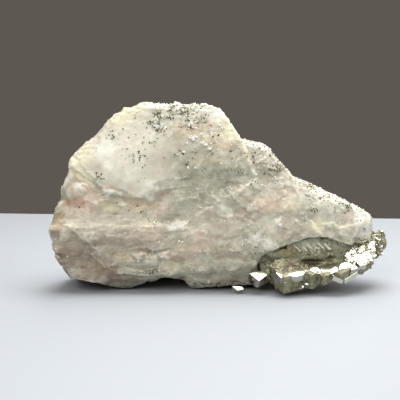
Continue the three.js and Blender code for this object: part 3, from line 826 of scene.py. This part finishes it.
dice = np.random.default_rng(7)
blades = []
for place, normal in surfaceSpots(massMesh, points, crystals["count"], 8, crystalShare):
    block = bladeBlock(place, normal, dice.uniform(*crystals["length"]), dice.uniform(*crystals["width"]),
                       dice.uniform(*crystals["thickness"]), dice)
    addInside(blades, block)
for chipColumn, chipRow, size in whiteChips:
    hit = massTree.ray_cast(*photoRay(chipColumn, chipRow))
    if hit[0] is not None:
        addInside(blades, bladeBlock(np.array(hit[0]), hit[1], size * 0.5, size * 0.85, size * 0.5, dice))


def bladeMaterial():
    paint = Paint("clear barite blades")
    fine = paint.texture(2600, 3)
    colour = paint.blend(paint.texture(700, 3), (0.74, 0.71, 0.60), (0.92, 0.91, 0.87))
    bump = paint.add("Bump", strength=0.2, distance=0.0001, height=fine)
    return paint.finish(base_color=colour, roughness=0.12 + 0.25 * fine, normal=bump, ior=1.64,
                        subsurface_weight=0.6, subsurface_radius=(0.9, 0.85, 0.7), subsurface_scale=0.001)


addPiece("barite_blades", joinBlocks("blades", blades), bladeMaterial())


# pyrite

def oliveMaterial():
    # the massive part: dull, tarnished olive
    paint = Paint("olive pyrite")
    broad = paint.texture(210, 5, roughness=0.6)
    fine = paint.texture(1500, 4, roughness=0.6)
    colour = paint.blend(broad, (0.25, 0.245, 0.15), (0.45, 0.44, 0.33))
    colour = paint.blend(paint.mask("pale") * 0.8, colour, (0.60, 0.58, 0.49))
    colour = paint.blend(paint.mask("rusty") * 0.7, colour, (0.36, 0.27, 0.13))
    # painted shade: nearly black in the recess and the gaps
    colour = paint.blend(paint.mask("umber") * 0.85, colour, (0.11, 0.09, 0.05))
    # lighter on edges that stand out: rubbed tarnish, and partly painted highlight
    edgeLightAndWear = paint.between(paint.mask("ridge"), 0.55, 0.9)
    colour = paint.blend(edgeLightAndWear * 0.35, colour, (0.62, 0.60, 0.50))
    tarnish = paint.between(fine, 0.48, 0.7)
    colour = paint.blend(tarnish * 0.5, colour, (0.13, 0.12, 0.06))
    bump = paint.add("Bump", strength=0.4, distance=0.0002, height=fine)
    rough = 0.40 + 0.22 * broad + 0.15 * tarnish
    return paint.finish(base_color=colour, metallic=0.85, roughness=rough, normal=bump)


def brightMaterial():
    # crystal faces
    paint = Paint("bright pyrite")
    broad = paint.texture(240, 5, roughness=0.6)
    fine = paint.texture(1700, 4, roughness=0.6)
    colour = paint.blend(broad, (0.49, 0.48, 0.40), (0.74, 0.73, 0.66))
    tarnish = paint.between(fine, 0.56, 0.74)
    colour = paint.blend(tarnish * 0.5, colour, (0.20, 0.18, 0.10))
    bump = paint.add("Bump", strength=0.1, distance=0.0002, height=fine)
    rough = 0.06 + 0.2 * broad + 0.15 * tarnish
    return paint.finish(base_color=colour, metallic=1.0, roughness=rough, normal=bump)


olive, bright = oliveMaterial(), brightMaterial()

print("pyrite: massive part")
pyrite = {
    "voxel": 0.28,
    "rounding": 3,
    "wall": (302, 253, 50, 13, -4, 1.0),  # photo patch of the recessed wall
    "wallFloor": ((262, 345), (-15.0, -12.4)),  # how far forward it is at two columns
    "undulation": 0.25,
    "steps": 0.14,
    "grit": 0.19,
    "tipGrit": 0.16,  # more of it at the tip
    "sunk": 0.1,
    # slanting bars on the wall: photo place and width in pixels
    "bars": [(292, 244, 1.4), (299, 243.5, 1.0), (304, 242, 1.6), (310, 241.5, 1.2), (315, 241, 1.6),
             (321, 242, 3.0)],
    "barSlant": (8.0, 8.0),  # pixels across and down
}
wallPatches = {
    # lighter olive; on the wall's bars, under the lit strip and along the corner crystal's left edge it is
    # painted highlight
    "pale": [
        (314, 247, 16, 7, -12, 1), (278, 277, 6, 7, -35, 0.6), (296, 273, 12, 3, 10, 0.8),
        (334, 244, 10, 5, -20, 0.5),
    ],
    "rusty": [(290, 252, 8, 6, 0, 0.9), (280, 284, 8, 6, 0, 0.4)],
    # the dark ones are mostly painted shade: in the recess behind the shelf and in the gaps beside the
    # barite
    "umber": [
        (312, 262, 15, 3.5, 5, 1), (331, 259, 6, 3, 30, 0.8), (270, 283, 4, 9, 0, 0.8),
        (265, 262, 6, 1.5, 20, 0.7), (296, 267, 24, 4, 8, 0.85), (326, 266, 14, 3, 10, 0.8),
    ],
}
# how far the wall stands further out than the solid: photo place, half width and height, mm
wallBulges = [(280, 256, 14, 8, 0.6), (312, 262, 14, 3, -1.2), (331, 259, 6, 3, -0.8)]
# where its top is higher: photo place, half width and height, mm
wallLifts = [(272, 257, 26, 12, 2.6), (336, 244, 18, 8, 1.2)]

bodyMesh = evenMesh("pyrite_cluster", pyrite["voxel"])
bodyPoints = getPoints(bodyMesh)
bodyNormals = getNormals(bodyMesh)
column, row = photoPlace(bodyPoints)
inWall = patchMask(column, row, [pyrite["wall"]]) * smoothstep(0.1, -0.3, bodyNormals[:, 1])
wallFloor = np.interp(column, *pyrite["wallFloor"])
bodyPoints[:, 1] -= np.clip(bodyPoints[:, 1] - wallFloor, 0, 6) * smoothstep(0.0, 0.4, inWall)
for *oval, rise in wallLifts:
    bodyPoints[:, 2] += rise * smoothstep(1.0, 0.1, ovalDistance(column, row, oval))
bodyPoints = relaxed(bodyPoints, bodyMesh, 0.5, pyrite["rounding"])
setPoints(bodyMesh, bodyPoints)
bodyNormals = getNormals(bodyMesh)
column, row = photoPlace(bodyPoints)
tip = smoothstep(340, 356, column)
relief = cloud(bodyPoints, 0.3, 3, 61) * pyrite["undulation"]
steps = facets(turned(bodyPoints, -20), 1.5, 62, (1.6, 1, 0.8))[0]
relief += steps * pyrite["steps"] * (1 + tip)
relief += facets(bodyPoints, 0.8, 63)[0] * (pyrite["grit"] + pyrite["tipGrit"] * tip)
front = smoothstep(0.0, -0.4, bodyNormals[:, 1])
for *oval, height in wallBulges:
    relief += height * smoothstep(1.2, 0.2, ovalDistance(column, row, oval)) * front
relief -= pyrite["sunk"]
bodyPoints += bodyNormals * relief[:, None]
bodyPoints = np.clip(bodyPoints, boxLow, boxHigh)
setPoints(bodyMesh, bodyPoints)
bodyNormals = getNormals(bodyMesh)
for name, spots in wallPatches.items():
    setMask(bodyMesh, name, patchMask(column, row, spots) * smoothstep(0.2, -0.2, bodyNormals[:, 1]))
setRidge(bodyMesh, bodyPoints, bodyNormals, 6, 2)
shadeSmooth(bodyMesh)
print("  triangles", countTriangles(bodyMesh))
addPiece("pyrite_massive", bodyMesh, olive, ["pyrite_cluster"])
bodyTree = surfaceTree(bodyMesh, bodyPoints)

# crystals with a mirror face: the corners of that face in the photo, its lean to the front
# and to the right, the depth, and for the two single ones how far forward they stand, in mm
mirrors = {
    "sliver": ([(281, 278), (275, 272.3), (278.5, 273.2), (285, 275.5), (284.5, 278)], 38, 2, 2.4),
    "lit strip": ([(296, 276.8), (286.5, 275.4), (292, 273.2), (300, 271), (305, 272.4),
                   (303.5, 275)], 34, 3, 2.4),
    "triangle": ([(318, 274), (307.5, 271.5), (311, 268.5), (314, 267)], 38, 2, 2.2),
    "pink side": ([(321, 272.5), (318.5, 274), (314.5, 267), (317.5, 267.5), (320.5, 270)], 33, 8, 2.0),
    "strip a": ([(323, 272.5), (321.5, 271), (320.5, 267.8), (323, 270), (329, 269.8), (331, 271),
                 (329, 272)], 38, 3, 2.0),
    "strip b": ([(334, 272.5), (331, 274), (330, 270), (335, 266.5), (338, 268),
                 (338, 271.5)], 37, 4, 2.2),
    "strip c": ([(345, 274.5), (339, 271), (339, 267), (341, 263.5), (346, 262), (352, 264),
                 (350, 271)], 38, 3, 2.4),
    "strip d": ([(358, 268), (351, 270.5), (353, 263.5), (357, 260), (365, 262), (367, 264)], 38, 5, 2.4),
    "green v": ([(344, 280), (334, 276), (332, 274), (337, 271.8), (343, 275)], 22, 20, 1.6),
    "striped": ([(352, 275), (344.5, 280), (344.5, 275), (351, 271), (358, 268.5), (361, 268.5),
                 (357, 272)], 20, -6, 1.6),
    "low glint": ([(301, 288.5), (296, 288), (301, 284.5), (304.5, 284.8), (304, 287)], 50, -2, 1.2),
    "low glint b": ([(308, 285.2), (304.5, 284.2), (306.5, 282.2), (311, 282.2), (311, 284)], 50, 2, 1.2),
    "thin glint": ([(286.5, 283), (284, 282.4), (282, 280.2), (284, 281)], 48, 2, 1.0),
}
loneCrystals = {
    "cube": ([(259, 281), (249, 273.5), (261, 270.8), (267.5, 275)], 37, 6, 3.4, -20.4),
    "low": ([(237.5, 290.5), (232, 286), (241.5, 286.6), (244, 289)], 47, 2, 2.0, -19.6),
}
crystalShape = {
    "standsOut": 0.25,  # of the massive part
    "topBehind": 2.2,  # of a single crystal's front
    "bevel": 0.07,
}


def mirrorCrystal(corners, lean, side, depth, forward=None):
    # a flat prism whose top shows the given corners to the front; it sits on the massive part
    side, lean = math.radians(side), math.radians(lean)
    normal = Vector((math.sin(side), -math.sin(lean), math.cos(lean)))
    normal.normalize()
    start, ray = photoRay(*np.mean(corners, 0))
    if forward is None:
        anchor = bodyTree.ray_cast(start, ray)[0] + normal * crystalShape["standsOut"]
    else:
        anchor = start + ray * ((forward + crystalShape["topBehind"] - start.y) / ray.y)
    top = []
    for corner in corners:
        start, ray = photoRay(*corner)
        top.append(start + ray * ((anchor - start).dot(normal) / ray.dot(normal)))
    low = [point - normal * depth for point in top]
    count = len(top)
    mesh = bmesh.new()
    rings = [[mesh.verts.new(point) for point in ring] for ring in (top, low)]
    mesh.faces.new(rings[0])
    mesh.faces.new(rings[1][::-1])
    for i in range(count):
        follow = (i + 1) % count
        mesh.faces.new((rings[0][i], rings[1][i], rings[1][follow], rings[0][follow]))
    bmesh.ops.recalc_face_normals(mesh, faces=mesh.faces)
    bmesh.ops.bevel(mesh, geom=mesh.edges[:] + mesh.verts[:], offset=crystalShape["bevel"], segments=1,
                    affect="EDGES")
    points = np.array([v.co for v in mesh.verts])
    faces = [[v.index for v in f.verts] for f in mesh.faces]
    mesh.free()
    points[:, 2] = np.maximum(points[:, 2], 0.05)  # clear of the table
    return points, faces


# the shining part of the tip is a mass of cubes with parallel faces
tipZone = [
    (347, 262), (346.5, 258), (349, 251.5), (356, 247), (359, 244.5), (364, 244), (368, 244), (372, 241),
    (374, 244), (372.5, 248), (375, 255), (372, 259.5), (368, 262), (362, 265), (357, 264), (352, 263),
]
small = {
    "tipCubes": 250,
    "tipSize": (0.5, 1.6),
    "strays": 0.2,  # share of the tip's cubes tried outside its shining part
    "count": 1100,
    "size": (0.25, 0.75),
    "lean": 38,
    "places": [
        (366, 246, 18, 14, 30, 0.8), (381, 241, 7, 12, 0, 1), (352, 262, 12, 8, 0, 0.4),
        (300, 284, 14, 6, 20, 0.7), (318, 277, 20, 3, 10, 0.6), (272, 264, 8, 6, 0, 0.3),
        (324, 252, 12, 6, 0, 0.4), (292, 267, 20, 4, 5, 0.5), (308, 254, 8, 4, 0, 0.3),
    ],
}


def insidePolygon(x, y, corners):
    inside = False
    for (ax, ay), (bx, by) in zip(corners, corners[1:] + corners[:1]):
        if (ay > y) != (by > y) and x < (bx - ax) * (y - ay) / (by - ay) + ax:
            inside = not inside
    return inside


def cubeBlock(place, size, lean, side, spin, dice):
    turn = Matrix.Rotation(math.radians(lean), 3, "X") @ Matrix.Rotation(math.radians(side), 3, "Y") \
        @ Matrix.Rotation(spin, 3, "Z")
    local = cubeCorners * size * dice.uniform(0.7, 1.2, 3)
    return local @ np.array(turn).T + np.array(place), cubeFaces


def smallShare(centres, normal):
    column, row = photoPlace(centres)
    return patchMask(column, row, small["places"]) * (0.3 + smoothstep(0.4, -0.4, normal[:, 1])) + 0.04


print("pyrite: crystals")
dice = np.random.default_rng(31)
blocks = [mirrorCrystal(*settings) for settings in mirrors.values()]
while len(blocks) < len(mirrors) + small["tipCubes"]:
    x, y = dice.uniform(346, 386), dice.uniform(231, 267)
    inside = insidePolygon(x, y, tipZone)
    if inside or dice.random() < small["strays"] * smoothstep(364, 374, x):
        hit = bodyTree.ray_cast(*photoRay(x, y))
        size = dice.uniform(*small["tipSize"]) * (1 if inside else 0.5)
        if hit[0] is None:
            small["tipCubes"] -= 1
            continue
        block = cubeBlock(hit[0], size, dice.normal(46, 2), dice.normal(4, 2), dice.normal(0.7, 0.1), dice)
        addInside(blocks, block)
addPiece("pyrite_crystals", joinBlocks("crystals", blocks), bright)
blocks = []
slantX, slantY = pyrite["barSlant"]
for x, y, width in pyrite["bars"]:
    corners = [(x, y), (x + width, y - 0.6), (x + slantX + width, y + slantY - 0.6),
               (x + slantX, y + slantY)]
    blocks.append(mirrorCrystal(corners, 71, -10, 1.4))
barCorners = sum(len(block[0]) for block in blocks)
for place, normal in surfaceSpots(bodyMesh, bodyPoints, small["count"], 32, smallShare):
    size = dice.uniform(*small["size"])
    block = cubeBlock(place - normal * size * 0.1, size, small["lean"] + dice.normal(0, 16),
                      dice.normal(4, 14), dice.uniform(0.4, 1.2), dice)
    addInside(blocks, block)
smallMesh = joinBlocks("small crystals", blocks)
for name in ("pale", "rusty", "umber", "ridge"):
    value = scatterHash(getPoints(smallMesh), 5)[:, 0] * 0.5
    # painted highlight: the bars are pale and lighter along their edges
    value[:barCorners] = name in ("pale", "ridge")  # the bars on the wall are pale
    setMask(smallMesh, name, value)
addPiece("pyrite_small_crystals", smallMesh, olive)
cubeMesh = joinBlocks("cube", [mirrorCrystal(*loneCrystals["cube"])])
addPiece("pyrite_single_cube", cubeMesh, bright, ["pyrite_cube"])
lowMesh = joinBlocks("low", [mirrorCrystal(*loneCrystals["low"])])
addPiece("pyrite_low_crystal", lowMesh, bright, ["pyrite_low_cube"])

# grains of pyrite, as dark specks: photo place, half width and height in pixels, count

print("pyrite: grains")
grains = {
    "size": (0.16, 0.36),
    "allRound": 900,
    "clusters": [
        (158, 114, 4, 6, 26), (164, 118, 8, 2, 24), (171, 112, 3, 6, 20), (174, 106, 5, 2, 16),
        (152, 122, 8, 2, 26), (157, 128, 7, 6, 50), (185, 111, 8, 5, 64), (195, 105, 9, 4, 34),
        (200, 120, 12, 5, 20), (190, 127, 4, 3, 12), (113, 136, 6, 4, 12), (135, 156, 12, 6, 26),
        (150, 142, 10, 5, 14), (101, 177, 6, 5, 9), (188, 150, 20, 16, 14), (125, 116, 10, 4, 8),
        (237, 173, 6, 5, 6), (203, 170, 6, 4, 5), (254, 158, 4, 7, 7), (274, 170, 7, 2, 14),
        (268, 150, 20, 8, 40), (282, 168, 8, 3, 16), (316, 210, 5, 2, 14), (308, 185, 8, 4, 30),
        (328, 195, 22, 4, 60), (350, 207, 14, 4, 40), (346, 203, 8, 3, 14), (360, 218, 10, 9, 6),
        (148, 273, 12, 3, 50), (130, 283, 10, 3, 20), (258, 142, 12, 3, 20), (278, 160, 6, 8, 14),
        (216, 284, 28, 2, 60), (250, 250, 18, 6, 8), (66, 272, 3, 5, 14), (366, 241, 5, 3, 40),
        (357, 252, 5, 5, 30), (371, 249, 6, 3, 26), (379, 237, 4, 4, 40), (354, 264, 4, 2, 10),
    ],
}


def grainBlock(place, normal, size, dice):
    turn = np.array(Euler(dice.uniform(0, fullTurn, 3)).to_matrix())
    local = cubeCorners * size * dice.uniform(0.75, 1.2, 3)
    return local @ turn.T + np.array(place) + np.array(normal) * size * 0.12, cubeFaces


def grainShare(centres, normal):
    column = photoPlace(centres)[0]
    patchy = smoothstep(0.05, 0.4, cloud(centres, 0.12, 4, 51))
    fromFront = smoothstep(-4, 8, centres[:, 1])
    rim = smoothstep(0.3, 0.8, normal[:, 2]) * (0.1 + 0.9 * smoothstep(140, 165, column))
    return (0.02 + patchy) * (0.03 + rim + 0.5 * fromFront) * (centres[:, 2] > 0.6)


def nearestHit(column, row):
    # the first place on barite or pyrite behind a photo place
    hits = [tree.ray_cast(*photoRay(column, row)) for tree in (massTree, bodyTree)]
    hits = [hit for hit in hits if hit[0] is not None]
    return min(hits, key=lambda hit: hit[3]) if hits else None


dice = np.random.default_rng(21)
spots = [(column, row, dice.uniform(0.3, 0.5)) for column, row in singleSpecks]
for midColumn, midRow, halfWidth, halfHeight, count in grains["clusters"]:
    for _ in range(count):
        across, down = dice.normal(0, 0.6, 2)
        spots.append((midColumn + across * halfWidth, midRow + down * halfHeight,
                      dice.uniform(*grains["size"])))
specks = []
for column, row, size in spots:
    hit = nearestHit(column, row)
    if hit is not None:
        addInside(specks, grainBlock(hit[0], hit[1], size, dice))
for place, normal in surfaceSpots(massMesh, points, grains["allRound"], 22, grainShare):
    addInside(specks, grainBlock(place, normal, dice.uniform(*grains["size"]), dice))
print("  grains", len(specks))


def grainMaterial():
    paint = Paint("dark pyrite grains")
    broad = paint.texture(500, 3)
    colour = paint.blend(broad, (0.08, 0.08, 0.045), (0.30, 0.28, 0.17))
    return paint.finish(base_color=colour, metallic=0.85, roughness=0.25 + 0.3 * broad)


addPiece("pyrite_grains", joinBlocks("grains", specks), grainMaterial())


# table, wall and light

def tableMaterial():
    paint = Paint("pale table")
    colour = paint.blend(paint.texture(3, 3), (0.43, 0.465, 0.515), (0.46, 0.495, 0.545))
    return paint.finish(base_color=colour, roughness=0.55)


tableMesh = bpy.data.meshes.new("table")
leftBack, rightBack = studio["tableBack"]
reach = studio["tableReach"]
tableMesh.from_pydata([(-reach, -reach, 0), (reach, -reach, 0), (reach, rightBack * mm, 0),
                       (-reach, leftBack * mm, 0)], [], [(0, 1, 2, 3)])
tableMesh.materials.append(tableMaterial())
table = placed("table", tableMesh)

world = bpy.data.worlds.new("studio")
world.use_nodes = True
world.node_tree.nodes["Background"].inputs[0].default_value = (*studio["wall"], 1)
bpy.context.scene.world = world

for name, lamp in lamps.items():
    light = bpy.data.lights.new(name, "AREA")
    light.shape = "RECTANGLE"
    light.size, light.size_y = lamp["size"]
    light.energy = lamp["watts"]
    light.color = lamp["tint"]
    stand = placed(name, light)
    stand.location = lamp["at"]
    towards = Vector((0, 0, 0.03)) - stand.location
    stand.rotation_euler = towards.to_track_quat("-Z", "Y").to_euler()

bpy.context.scene.view_settings.view_transform = "Standard"
